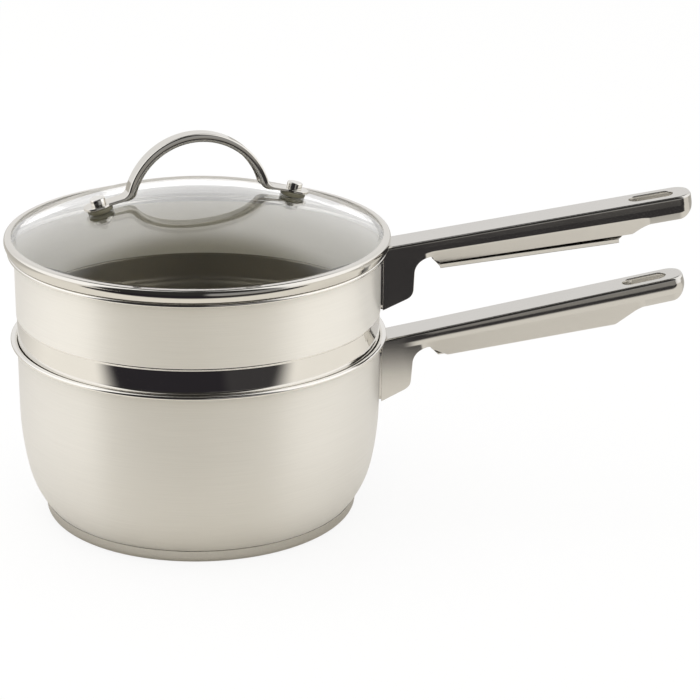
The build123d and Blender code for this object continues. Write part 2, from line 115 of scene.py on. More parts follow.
class HandleSettings(bpy.types.PropertyGroup):
    reach: length("Length", 155.3, "From the wall to the tip, along the top")
    width: length("Width", 18.6, "Across the handle")
    sheet: length("Sheet", 1.2, "Thickness of the folded sheet")
    top_edge: length("Top edge", 1.3, "Radius of the two edges along the top")
    fold_near: length("Fold depth near", 6.1, "Depth of the side wall near the pan")
    fold_far: length("Fold depth far", 7.9, "Depth of the side wall at the tail")
    depth_near: length("Grip depth near", 16.9, "Depth of the closed grip near the pan")
    depth_far: length("Grip depth far", 20.9, "Depth of the closed grip at the tail")
    skirt_depth: length("Skirt depth", 27, "Depth of the skirt at its outer corner")
    tail_depth: length("Tail depth", 11.4, "Depth of the open tail")
    slot_length: length("Slot length", 22.5, "Length of the hanging slot")
    slot_width: length("Slot width", 9.2, "Width of the hanging slot")
    upper_tilt: angle("Upper tilt", 9.73, "Rise of the upper handle")
    lower_tilt: angle("Lower tilt", 11.96, "Rise of the lower handle")


class LidSettings(bpy.types.PropertyGroup):
    band_radius: length("Band radius", 94.7, "Outside radius of the steel band")
    band_bottom: length("Band bottom", 136.5, "Underside of the steel band")
    band_top: length("Band top", 142.8, "Top of the steel band")
    band_sheet: length("Band sheet", 0.7, "Thickness of the band's sheet")
    glass_gap: length("Glass gap", 0.15, "Gap between the band and the glass in it")
    glass: length("Glass", 4.6, "Thickness of the glass")
    dome_radius: length("Dome radius", 90.6, "Radius where the dome meets the flat edge")
    dome_rise: length("Dome rise", 20.35, "Height of the dome above its edge")
    arch_radius: length("Arch radius", 36.5, "Outside radius of the arched handle")
    arch_width: length("Arch width", 9, "Width of the arched handle")
    arch_depth: length("Arch depth", 4, "Depth of its rolled-down sides")
    arch_turn: angle("Arch turn", 14.6, "Turn of the arch from the pan handles")
    hole_place: length("Hole place", 48.3, "Distance of each fastening from the lid's axis")


class FinishSettings(bpy.types.PropertyGroup):
    wall_steel: colour("Wall steel", (0.89, 0.88, 0.857), "Colour of the satin walls")
    inside_steel: colour("Inside steel", (0.94, 0.915, 0.83), "Colour of the insides")
    # Painted shade: this darker colour stands in for the shade and dark reflections deep inside the pans
    deep_shade_steel: colour("Pan steel with painted deep shade", (0.42, 0.385, 0.31), "Colour of the pans' floors and the bowl")
    rim_steel: colour("Rim steel", (0.85, 0.835, 0.80), "Colour of the polished rims and band")
    lid_steel: colour("Lid steel", (0.74, 0.72, 0.675), "Colour of the lid's band and arch")
    handle_steel: colour("Handle steel", (0.66, 0.645, 0.615), "Colour of the folded handles")
    wall_gloss: share("Wall roughness", 0.42, "Roughness of the satin walls")
    wall_metal: share("Wall metal", 0.42, "Share of the satin walls' light that is mirrored, not scattered")
    inside_gloss: share("Inside roughness", 0.5, "Roughness of the insides")
    floor_gloss: share("Pan floor roughness", 0.4, "Roughness of the pans' floors")
    bright_gloss: share("Bright roughness", 0.06, "Roughness of the polished steel")
    seal: colour("Seals", (0.17, 0.165, 0.125), "Colour of the soft seals")
    glass: colour("Glass", (0.98, 0.985, 0.975), "Tint of the lid's glass")


class StageSettings(bpy.types.PropertyGroup):
    camera_distance: length("Camera distance", 1036, "Distance in front of the pans' axis")
    camera_height: length("Camera height", 459.4, "Height above the base plane")
    camera_turn: angle("Camera turn", 4.16, "Turn of the view towards the handles")
    camera_pitch: angle("Camera pitch", 20.11, "Downward pitch of the view")
    camera_roll: angle("Camera roll", 0.65, "Roll of the view")
    focal: FloatProperty(name="Focal length", description="Focal length in millimetres", default=113.143)
    floor: colour("Floor", (0.97, 0.97, 0.97), "Colour of the floor")
    spin_steps: IntProperty(name="Steps", description="Points round a turned piece", default=288, min=48)


def in_mm(group):
    """A settings group with its lengths in millimetres and its other values as they are."""
    values = {}
    for key, prop in group.bl_rna.properties.items():
        if prop.type in ("FLOAT", "INT"):
            value = getattr(group, key)
            values[key] = round(value / MM, 4) if prop.unit == "LENGTH" else value
    return types.SimpleNamespace(**values)


def smooth(low, high, value):
    """Smooth step: 0 below low, 1 above high, t * t * (3 - 2t) between them."""
    t = np.clip((np.asarray(value, float) - low) / (high - low), 0, 1)
    return t * t * (3 - 2 * t)


def unit(vectors, axis):
    """Vectors laid along one axis of an array, each made 1 long."""
    return vectors / np.maximum(np.linalg.norm(vectors, axis=axis, keepdims=True), TINY)


def rounded_path(corners, steps=8, closed=False, support=0.3):
    """Points and right-hand normals along a path of (x, y, radius) corners, numbers or arrays of stations.

    A corner is cut back by radius / tan(half its angle), and an arc about the centre on its bisector joins
    the two cuts. One more point stands on the straight run at each end of an arc, to keep its shading flat.
    A rounded corner that is nearly straight is cut back by at least LEAST_CUT, so its points stand apart.
    """
    flat = np.broadcast_arrays(*[np.atleast_1d(np.asarray(v, float)) for corner in corners for v in corner])
    values = np.stack(flat).reshape(len(corners), 3, -1)
    place = values[:, :2]
    radius = values[:, 2].copy()
    if not closed:
        radius[[0, -1]] = 0
    ahead = np.roll(place, -1, axis=0) - place
    run = np.linalg.norm(ahead, axis=1)
    ahead = unit(ahead, 1)
    back = unit(np.roll(place, 1, axis=0) - place, 1)
    half = np.arccos(np.clip((back * ahead).sum(axis=1), -1, 1)) / 2
    half = np.clip(half, 1e-6, QUARTER_TURN - 1e-7)
    slight = (radius > 0) & (half > NEARLY_STRAIGHT)
    radius = np.where(slight, np.maximum(radius, LEAST_CUT * np.tan(half)), radius)
    cut = radius / np.tan(half)
    left = np.where(ahead[:, 0] * back[:, 1] - ahead[:, 1] * back[:, 0] > 0, 1.0, -1.0)
    spare = np.maximum(run - cut - np.roll(cut, -1, axis=0), 0) * RUN_SHARE
    after = np.minimum(support, spare)
    before = np.minimum(support, np.roll(spare, 1, axis=0))
    points, normals = [], []
    for k, corner in enumerate(place):
        in_normal = np.stack([-back[k, 1], back[k, 0]])
        out_normal = np.stack([ahead[k, 1], -ahead[k, 0]])
        if not closed and k == 0:
            in_normal = out_normal
        if not closed and k == len(corners) - 1:
            out_normal = in_normal
        if radius[k].max() <= 0:
            points.append(corner[None])
            normals.append(unit(in_normal + out_normal, 0)[None])
            continue
        centre = corner + unit(back[k] + ahead[k], 0) * radius[k] / np.sin(half[k])
        start = corner + back[k] * cut[k] - centre
        turn = np.linspace(0, 1, steps + 1)[:, None] * (math.pi - 2 * half[k]) * left[k]
        spoke = np.stack([
            start[0] * np.cos(turn) - start[1] * np.sin(turn),
            start[0] * np.sin(turn) + start[1] * np.cos(turn),
        ], axis=1)
        points += [(corner + back[k] * (cut[k] + before[k]))[None], centre + spoke]
        points.append((corner + ahead[k] * (cut[k] + after[k]))[None])
        normals += [in_normal[None], spoke * left[k] / np.maximum(radius[k], TINY), out_normal[None]]
    points, normals = np.concatenate(points), np.concatenate(normals)
    if points.shape[2] == 1:
        return points[:, :, 0], normals[:, :, 0]
    return points, normals


def arc(centre, radius, first, last, steps):
    """Points on a circle between two angles in degrees."""
    turn = np.radians(np.linspace(first, last, steps + 1))
    return np.stack([centre[0] + radius * np.cos(turn), centre[1] + radius * np.sin(turn)], axis=1)


def bearing(turn):
    """Directions in a side view at angles from straight up: (sin a, cos a)."""
    return np.stack([np.sin(turn), np.cos(turn)], axis=-1)


def spun(profile, steps):
    """Grid of a (radius, height) profile turned about the upright axis: x = r cos a, y = r sin a, z = h."""
    turn = np.arange(steps) * FULL_TURN / steps
    x = profile[:, :1] * np.cos(turn)
    y = profile[:, :1] * np.sin(turn)
    z = np.broadcast_to(profile[:, 1:], x.shape)
    return np.stack([x, y, z], axis=-1)


def grid_faces(rows, columns, wrap_rows=False, wrap_columns=False):
    """Quads of a grid by index, with the last row or column joined to the first where it wraps."""
    i = np.arange(rows if wrap_rows else rows - 1)[:, None]
    j = np.arange(columns if wrap_columns else columns - 1)[None]
    here = i * columns + j
    beside = i * columns + (j + 1) % columns
    above = (i + 1) % rows * columns + j
    across = (i + 1) % rows * columns + (j + 1) % columns
    return np.stack([here, beside, across, above], axis=-1).reshape(-1, 4)


def merged_mesh(points, faces, finish_of_face=None, outward=True):
    """Mesh of points in millimetres and faces, with its doubles merged and its faces turned outwards."""
    mesh = bpy.data.meshes.new("shape")
    mesh.from_pydata((np.asarray(points).reshape(-1, 3) * MM).tolist(), [], np.asarray(faces).tolist())
    if finish_of_face is not None:
        mesh.polygons.foreach_set("material_index", np.asarray(finish_of_face, dtype=np.int32))
    work = bmesh.new()
    work.from_mesh(mesh)
    bmesh.ops.remove_doubles(work, verts=work.verts, dist=MERGE)
    bmesh.ops.dissolve_degenerate(work, edges=work.edges, dist=MERGE / 4)
    if outward:
        bmesh.ops.recalc_face_normals(work, faces=work.faces)
    work.to_mesh(mesh)
    work.free()
    mesh.shade_smooth()
    mesh.update()
    return mesh


def turned_mesh(profile, steps, kinds=None, ring=False):
    """Mesh of a section turned about the upright axis, from pole to pole or closed as a ring."""
    faces = grid_faces(len(profile), steps, wrap_rows=ring, wrap_columns=True)
    return merged_mesh(spun(profile, steps), faces, kinds)


def values_of(items, key, width=1, kind=float):
    """One value, or one row of values, of each item of a mesh, as an array."""
    flat = np.empty(len(items) * width, dtype=kind)
    items.foreach_get(key, flat)
    return flat.reshape(-1, width) if width > 1 else flat


def sheet_shell(points, faces, thickness, edge_round, inside_from):
    """Closed shell of a sheet whose outside is the given surface. Past an x its inner faces have finish 1.

    The inside is the outside moved in by the thickness along its normals. Along each free edge a strip joins
    the two, with a half-round section: middle + half the thickness * cosine + the way out * sine.
    """
    outer = merged_mesh(points, faces, outward=False)
    count = len(outer.vertices)
    place = values_of(outer.vertices, "co", 3)
    normal = values_of(outer.vertex_normals, "vector", 3)
    loops = values_of(outer.loops, "vertex_index", kind=int)
    starts = values_of(outer.polygons, "loop_start", kind=int)
    totals = values_of(outer.polygons, "loop_total", kind=int)
    bpy.data.meshes.remove(outer)
    following = np.arange(len(loops)) + 1
    following[starts + totals - 1] = starts
    a, b = loops, loops[following]
    key = np.minimum(a, b) * count + np.maximum(a, b)
    _, where, uses = np.unique(key, return_inverse=True, return_counts=True)
    free = uses[where.ravel()] == 1
    a, b = a[free], b[free]
    edge = unit(place[b] - place[a], 1)
    rim = np.unique(np.concatenate([a, b]))
    slot_of = np.full(count, -1)
    slot_of[rim] = np.arange(len(rim))
    way = np.zeros((count, 3))
    for end in (a, b):
        np.add.at(way, end, np.cross(edge, normal[end]))
    way = unit(way[rim], 1)
    wall = thickness * MM
    inner = place - normal * wall
    middle = (place[rim] + inner[rim]) / 2
    slopes = np.radians(np.arange(22.5, 180, 22.5))
    turns = np.arctan2(np.sin(slopes) * edge_round, np.cos(slopes) * thickness / 2)
    strips = [
        middle + normal[rim] * wall / 2 * math.cos(t) + way * edge_round * MM * math.sin(t)
        for t in turns
    ]
    between = [2 * count + k * len(rim) + np.arange(len(rim)) for k in range(len(turns))]
    rings = [rim, *between, rim + count]
    outer_faces = [list(f) for f in np.split(loops, starts[1:])]
    inner_faces = [[int(v) + count for v in f[::-1]] for f in outer_faces]
    strip_faces = np.concatenate([
        np.stack([low[slot_of[b]], low[slot_of[a]], high[slot_of[a]], high[slot_of[b]]], axis=1)
        for low, high in zip(rings[:-1], rings[1:])
    ])
    mesh = bpy.data.meshes.new("sheet")
    every = np.concatenate([place, inner] + strips)
    mesh.from_pydata(every.tolist(), [], outer_faces + inner_faces + strip_faces.tolist())
    mesh.shade_smooth()
    kinds = np.zeros(len(mesh.polygons), dtype=np.int32)
    inside = slice(len(outer_faces), 2 * len(outer_faces))
    kinds[inside] = values_of(mesh.polygons, "center", 3)[inside, 0] > inside_from * MM
    mesh.polygons.foreach_set("material_index", kinds)
    edges = np.sort(values_of(mesh.edges, "vertices", 2, int), axis=1)
    border = np.sort(np.stack([a, b], 1), axis=1)
    borders = np.concatenate([border, border + count])
    whole = len(every)
    crisp = np.isin(edges[:, 0] * whole + edges[:, 1], borders[:, 0] * whole + borders[:, 1])
    mesh.edges.foreach_set("use_edge_sharp", crisp)
    mesh.update()
    return mesh


def placed(name, data):
    """New object of some data, in the scene."""
    made = bpy.data.objects.new(name, data)
    bpy.context.scene.collection.objects.link(made)
    return made


def add_piece(mesh, name, body, nodes, looks, crisp_above=None):
    """Object of a finished mesh that rides on a body, stands for CAD nodes and has its finishes."""
    mesh.name = name
    piece = placed(name, mesh)
    for look in looks:
        mesh.materials.append(finishes()[look])
    if crisp_above is not None:
        mesh.set_sharp_from_angle(angle=math.radians(crisp_above))
    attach(piece, body)
    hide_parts(*nodes)
    return piece


class Wire:
    """A shader socket that takes sums: an expression on wires adds the Math nodes for it."""

    def __init__(self, recipe, socket):
        self.recipe = recipe
        self.socket = socket

    def math(self, operation, *others):
        return self.recipe.node("Math", dict(enumerate((self,) + others)), {"operation": operation})

    def flipped(self, operation, other):
        return self.recipe.node("Math", {0: other, 1: self}, {"operation": operation})

    def __add__(self, other):
        return self.math("ADD", other)

    def __sub__(self, other):
        return self.math("SUBTRACT", other)

    def __rsub__(self, other):
        return self.flipped("SUBTRACT", other)

    def __mul__(self, other):
        return self.math("MULTIPLY", other)

    def __truediv__(self, other):
        return self.math("DIVIDE", other)

    def __rtruediv__(self, other):
        return self.flipped("DIVIDE", other)

    __radd__ = __add__
    __rmul__ = __mul__


class Recipe:
    """Node tree of a material or the world, emptied and built up by node()."""

    def __init__(self, owner):
        owner.use_nodes = True
        self.tree = owner.node_tree
        self.tree.nodes.clear()

    def node(self, kind, inputs=None, settings=None, output=0):
        """One shader node: its settings are set first, then the values or links of its sockets."""
        node = self.tree.nodes.new("ShaderNode" + kind)
        for key, value in (settings or {}).items():
            setattr(node, key, value)
        for key, value in (inputs or {}).items():
            if isinstance(value, Wire):
                self.tree.links.new(value.socket, node.inputs[key])
            else:
                node.inputs[key].default_value = value
        return Wire(self, node.outputs[output]) if node.outputs else node

    def ramp(self, value, low, high, first=0, last=1):
        """A value carried smoothly from one range to another, held at the ends."""
        inputs = {"Value": value, "From Min": low, "From Max": high, "To Min": first, "To Max": last}
        return self.node("MapRange", inputs, {"interpolation_type": "SMOOTHSTEP", "clamp": True})

    def blend(self, factor, first, second):
        """Colour between two colours."""
        return self.node("Mix", {"Factor": factor, 6: first, 7: second}, {"data_type": "RGBA"}, output=2)

    def mottled(self, pattern, tint, darkest, lightest):
        """A tint that a pattern makes darker and lighter."""
        return self.blend(pattern, tinted(tint, darkest), tinted(tint, lightest))

    def noise(self, stretch, scale, detail=2, roughness=0.5):
        """Cloudy pattern from 0 to 1, on object coordinates times a stretch along each axis."""
        place = self.node("TexCoord", output="Object")
        place = self.node("VectorMath", {0: place, 1: stretch}, {"operation": "MULTIPLY"})
        inputs = {"Vector": place, "Scale": scale, "Detail": detail, "Roughness": roughness}
        return self.node("TexNoise", inputs)

    def parts(self, coordinates):
        """The x, y and z of a kind of coordinates."""
        place = self.node("TexCoord", output=coordinates)
        outputs = self.node("SeparateXYZ", {0: place}).socket.node.outputs
        return [Wire(self, output) for output in outputs]

    def ray(self, kind):
        """1 on rays of a kind, 0 on others."""
        return self.node("LightPath", output=f"Is {kind} Ray")

    def finish(self, shader, kind="Material"):
        """Joins a shader to the output."""
        self.node("Output" + kind, {"Surface": shader})

    def surface(self, inputs):
        """Joins the standard surface with these inputs to the output."""
        self.finish(self.node("BsdfPrincipled", inputs))


EVEN = (1, 1, 1)
WHITE = (1, 1, 1, 1)


def tinted(rgb, factor=1):
    """A colour made darker or lighter, with full alpha."""
    return (*(min(1.0, c * factor) for c in rgb[:3]), 1)


def turned_steel(name, tint, roughness, metal, stretch, spread, depth, line_scale=60):
    """Steel with fine lines left by brushing as the pan turned: lines are noise stretched along the stretch.

    Base colour, roughness and a slight bump follow the lines, and large soft clouds change the roughness a
    little. What isn't mirrored is scattered widely, as by the finest scratches.
    """
    recipe = Recipe(bpy.data.materials.new(name))
    lines = recipe.noise(stretch, line_scale, detail=3, roughness=0.6)
    clouds = recipe.noise(EVEN, 22)
    recipe.surface({
        "Base Color": recipe.mottled(lines, tint, 0.93, 1.05), "Metallic": metal,
        "Roughness": roughness + (lines - 0.5) * spread + (clouds - 0.5) * 0.05,
        "Normal": recipe.node("Bump", {"Strength": depth, "Distance": 0.00002, "Height": lines}),
        "Anisotropic": 0.92, "Anisotropic Rotation": 0.25,
    })


def polished_steel(name, tint, roughness, spread=0.02):
    """Polished steel: nearly a mirror, with faint clouds and hairlines in its roughness and colour."""
    recipe = Recipe(bpy.data.materials.new(name))
    clouds = recipe.noise(EVEN, 60, detail=3)
    hairs = recipe.noise((60, 900, 900), 1)
    recipe.surface({
        "Base Color": recipe.mottled(clouds, tint, 0.97, 1.02), "Metallic": 1.0,
        "Roughness": roughness + (clouds - 0.5) * spread + (hairs - 0.5) * spread,
    })


def clear_glass(name, tint):
    """Clear glass with the faintest waves, which lets lamp and soft light through to what is behind it."""
    recipe = Recipe(bpy.data.materials.new(name))
    waves = recipe.noise(EVEN, 30, detail=1)
    glass = recipe.node("BsdfPrincipled", {
        "Base Color": recipe.mottled(waves, tint, 0.995, 1.005), "Roughness": waves * 0.01,
        "IOR": 1.5, "Transmission Weight": 1.0, "Coat Weight": 1.0, "Coat Roughness": 0.0, "Coat IOR": 1.5,
    })
    clear = recipe.node("BsdfTransparent", {"Color": tinted(tint)})
    passing = recipe.ray("Shadow").math("MAXIMUM", recipe.ray("Diffuse"))
    recipe.finish(recipe.node("MixShader", {0: passing, 1: glass, 2: clear}))


def soft_rubber(name, tint):
    """Matt silicone with a fine grain and a little dust-like unevenness."""
    recipe = Recipe(bpy.data.materials.new(name))
    grain = recipe.noise(EVEN, 2500)
    clouds = recipe.noise(EVEN, 180)
    recipe.surface({
        "Base Color": recipe.mottled(clouds, tint, 0.85, 1.15), "Roughness": 0.5 + (grain - 0.5) * 0.2,
        "Normal": recipe.node("Bump", {"Strength": 0.25, "Distance": 0.00005, "Height": grain}),
    })


def finishes():
    """All finishes by name, made once."""
    if bpy.data.materials.get("pan wall steel") is None:
        f = bpy.context.scene.boiler_finishes
        wall = {"roughness": f.wall_gloss, "metal": f.wall_metal, "stretch": (0.6, 0.6, 60)}
        wall.update(spread=0.05, depth=0.25)
        inside = {"stretch": (0.6, 0.6, 40), "spread": 0.08, "depth": 0.5}
        tail = {"stretch": (60, 60, 60), "spread": 0.05, "depth": 0.2, "line_scale": 10}
        turned_steel("pan wall steel", f.wall_steel, **wall)
        # Painted light: a lit copy of the wall steel, made 7% lighter, for the upper pan
        turned_steel("upper wall steel painted lighter", tinted(f.wall_steel, 1.07), **wall)
        turned_steel("brushed inside steel", f.inside_steel, f.inside_gloss, 0.58, **inside)
        # Painted shade: a darker steel for the deep part of the pans' insides, standing in for shade and
        # dark reflection
        turned_steel("pan steel with painted deep shade", f.deep_shade_steel, f.floor_gloss, 1.0, **inside)
        turned_steel("handle inside steel", f.handle_steel, 0.35, 0.35, **tail)
        polished_steel("rim steel", f.rim_steel, f.bright_gloss)
        polished_steel("lid steel", f.lid_steel, f.bright_gloss)
        polished_steel("handle steel", f.handle_steel, f.bright_gloss + 0.05, 0.05)
        polished_steel("base cap steel", tinted(f.rim_steel, 0.7), f.bright_gloss + 0.16, 0.05)
        polished_steel("core aluminium", (0.78, 0.78, 0.79), 0.4, 0.1)
        clear_glass("lid glass", f.glass)
        soft_rubber("seal silicone", f.seal)
    return bpy.data.materials


def rim_parts(pan, top):
    """Under-flare, bead and inner flare of a rim, as (radius, height) points from outside to inside."""
    flare_centre = pan.rim_radius - pan.bead_radius
    inner = flare_centre - pan.wall_radius + pan.sheet
    under = inner - pan.sheet
    start = top - inner
    lift = inner - pan.bead_radius
    meet = math.degrees(math.acos((under ** 2 + lift ** 2 - pan.bead_radius ** 2) / (2 * under * lift)))
    hollow = arc((flare_centre, start), under, 180, 90 + meet, 6)
    bead_centre = (flare_centre, top - pan.bead_radius)
    first = math.degrees(math.atan2(hollow[-1, 1] - bead_centre[1], hollow[-1, 0] - bead_centre[0])) % 360
    bead = arc(bead_centre, pan.bead_radius, first, 450, 24)[1:]
    back = arc((flare_centre, start), inner, 90, 180, 12)[1:]
    return hollow, bead, back


def belly_corners(pan):
    """Corners of the belly from the floor up: three bends, each tangent to the next."""
    tangent = pan.belly_radius * math.tan(pan.belly_turn / 2)
    top = (pan.wall_radius, pan.belly_height - tangent)
    slope = (-math.sin(pan.belly_turn), -math.cos(pan.belly_turn))
    joint = (top[0] + slope[0] * tangent, top[1] + slope[1] * tangent)
    chord = (joint[0] - pan.base_radius, joint[1] - pan.base_height)
    turn = 2 * (math.atan2(chord[0], chord[1]) - pan.belly_turn)
    radius = math.hypot(*chord) / (2 * math.sin(turn / 2))
    cut = radius * math.tan(turn / 2)
    middle = (joint[0] + slope[0] * cut, joint[1] + slope[1] * cut)
    last = pan.belly_turn + turn
    floor_radius = (pan.base_height - pan.floor_height) / (1 - math.sin(last))
    floor_cut = floor_radius * math.tan((math.pi / 2 - last) / 2)
    floor_x = pan.base_radius - math.sin(last) * floor_cut
    return [
        (floor_x, pan.floor_height, floor_radius),
        (middle[0], middle[1], radius),
        (top[0], top[1], pan.belly_radius),
    ]


def pan_mesh(corners, pan, top, steps, shade_top, bright=(0, 0)):
    """Pan turned from its sheet section: outside path, rim, then the same path moved in by the sheet.

    shade_top is the height up to which the inside has the darker colour of painted shade and dark
    reflection, and bright gives the lowest and highest height of a stretch of the outside with the rim's
    finish.
    """
    outside, normals = rounded_path(corners, steps=10)
    inside = (outside - normals * pan.sheet)[::-1]
    inside[-1, 0] = 0
    rim = np.concatenate(rim_parts(pan, top))
    profile = np.concatenate([outside[:-1], rim, inside[1:]])
    row, height = np.arange(len(profile)), profile[:, 1]
    rim_start = len(outside) - 1
    rim_end = rim_start + len(rim)
    kinds = np.full(len(profile), WALL)
    kinds[rim_start:rim_end] = RIM
    kinds[rim_end - 1:] = INSIDE
    # Painted shade: the inside below shade_top takes the darker colour
    kinds[(row >= rim_end) & (height < shade_top)] = SHADED_DEPTH
    kinds[(row < rim_start) & (height > bright[0]) & (height < bright[1])] = RIM
    return turned_mesh(profile, steps, np.repeat(kinds[:-1], steps))


class BOILER_OT_pans(bpy.types.Operator):
    """Makes the lower pan, its base cap and the upper pan, each turned from its section"""

    bl_idname = "boiler.pans"
    bl_label = "Make pans"

    def execute(self, context):
        pan = in_mm(context.scene.boiler_pans)
        steps = context.scene.boiler_stage.spin_steps
        shared = ["rim steel", "brushed inside steel", "pan steel with painted deep shade"]
        straight = pan.rim_radius - pan.bead_radius - pan.wall_radius + pan.sheet
        # How far above the pan's floor, or the band's top, the painted shade reaches
        shade_rise = 2
        lower = [(0, pan.floor_height, 0), *belly_corners(pan)]
        lower.append((pan.wall_radius, pan.lower_rim - straight, 0))
        mesh = pan_mesh(lower, pan, pan.lower_rim, steps, pan.floor_height + shade_rise)
        looks = ["pan wall steel", *shared]
        add_piece(mesh, "lower_pan", "lower_pan", ["lower_pan_body"], looks, crisp_above=50)
        band_step, step_rise = 0.3, 0.5
        bowl_bend, ledge_bend, band_bend, step_bend = 12, 2, 2.4, 1
        band = pan.wall_radius - band_step
        upper = [
            (0, pan.bowl_floor, 0),
            (pan.bowl_radius, pan.bowl_floor, bowl_bend),
            (pan.bowl_radius, pan.ledge, ledge_bend),
            (band, pan.ledge, band_bend),
            (band, pan.band_top, step_bend),
            (pan.wall_radius, pan.band_top + step_rise, step_bend),
            (pan.wall_radius, pan.upper_rim - straight, 0),
        ]
        bright = (pan.ledge - 1, pan.band_top + 0.9)
        mesh = pan_mesh(upper, pan, pan.upper_rim, steps, pan.band_top + shade_rise, bright)
        looks = ["upper wall steel painted lighter", *shared]
        add_piece(mesh, "upper_pan", "upper_pan", ["upper_pan_body"], looks, crisp_above=50)
        cap_gap, cap_bend = 0.05, 2.4
        cap = pan.base_radius + cap_gap + pan.cap_sheet
        outside, normals = rounded_path([(0, 0, 0), (cap, 0, cap_bend), (cap, pan.base_height, 0)], steps=12)
        inside = (outside - normals * pan.cap_sheet)[::-1]
        inside[-1, 0] = 0
        mesh = turned_mesh(np.concatenate([outside, inside]), steps)
        looks = ["base cap steel"]
        add_piece(mesh, "base_plate", "lower_pan", ["base_cap"], looks, crisp_above=40)
        return {"FINISHED"}


# A handle's fixed measures in millimetres
TAIL_RUN = 23.3  # length of the open tail
NOSE = 8  # radius of the tip's corners in plan
SLOT_INSET = 8.4  # from the tip to the slot
PULLED_RUN = 8  # stretch that is pulled to the wall
NECK_START, NECK_DEPTH = 9.7, 8.7
MOUTH = 24.5  # where the grip begins
KEEL_HALF = 2.2  # half the keel's width
STRIP_START, STRIP_RUN, STRIP_RISE = 2.75, 8.1, 20  # strip beside the seam: its side, run in and rise
SEAM_GAP = 0.4
SKIRT_RAKE = math.radians(16.3)
TAIL_SLOPE = math.radians(31)


def handle_outline(h, skirt, lip, slant):
    """Lower edge of a handle in side view, as rising places along it and the height of the edge at each.

    At the mouth of the grip the edge drops straight to the lip's depth and then slants away from the pan.
    """
    rake = math.tan(SKIRT_RAKE)
    low = h.depth_far + 2
    mouth_run = (low - lip) / math.tan(math.radians(slant))
    slant_run = (low - h.tail_depth) / math.tan(TAIL_SLOPE)
    tail = h.reach - TAIL_RUN
    behind = 30
    skirt_bend, neck_bend, throat_bend, mouth_bend, tail_bend, tip_bend = 5.5, 8.5, 2.2, 1, 5, 8
    corners = [
        (-behind, -h.skirt_depth - (behind + skirt) * rake, 0),
        (skirt, -h.skirt_depth, skirt_bend),
        (NECK_START + (h.skirt_depth - NECK_DEPTH) * rake, -NECK_DEPTH, neck_bend),
        (MOUTH - 0.2, -NECK_DEPTH, throat_bend),
        (MOUTH, -lip, mouth_bend),
        (MOUTH + mouth_run, -low, 0),
        (tail - slant_run, -low, 0),
        (tail, -h.tail_depth, tail_bend),
        (h.reach, -h.tail_depth, tip_bend),
        (h.reach + 1e-4, -1, 0),
    ]
    points, _ = rounded_path(corners, steps=24, support=0.01)
    keep = points[:, 0] <= h.reach
    return points[keep, 0], points[keep, 1]


def cut_off(points, normals, inside):
    """Rows of a path past the first place where a measure falls below zero, gathered at that place."""
    count = len(points)
    rows = np.arange(count)[:, None]
    out = inside < 0
    first = np.where(out.any(axis=0), out.argmax(axis=0), count)
    k = np.clip(first, 1, count - 1)
    columns = np.arange(points.shape[2])
    before, after = inside[k - 1, columns], inside[k, columns]
    t = np.clip(before / np.where(first < count, before - after, 1), 0, 1)
    edge = points[k - 1, :, columns] + (points[k, :, columns] - points[k - 1, :, columns]) * t[:, None]
    past = (rows >= first)[:, None]
    normal = normals[k - 1, :, columns].T[None]
    return np.where(past, edge.T[None], points), np.where(past, normal, normals)


def handle_stations(h):
    """Places along a handle up to its nose, denser where it changes, and half the slot's width there."""
    tail, nose, half_slot = h.reach - TAIL_RUN, h.reach - NOSE, h.slot_width / 2
    slot_far = h.reach - SLOT_INSET - half_slot
    slot_near = h.reach - SLOT_INSET - h.slot_length + half_slot
    round_end = np.linspace(0, QUARTER_TURN, 13)
    marks = [0, PULLED_RUN, 22, 34, 112, tail + 4, nose]
    counts = [18, 90, 121, 24, 70, 20]
    spans = [np.linspace(*span) for span in zip(marks[:-1], marks[1:], counts)]
    ends = [slot_near - half_slot * np.cos(round_end), slot_far + half_slot * np.sin(round_end)]
    q = np.unique(np.round(np.concatenate(spans + ends), 3))
    q = q[q <= nose]
    beyond = np.maximum(np.maximum(slot_near - q, q - slot_far), 0)
    return q, np.sqrt(np.maximum(half_slot ** 2 - beyond ** 2, 0))


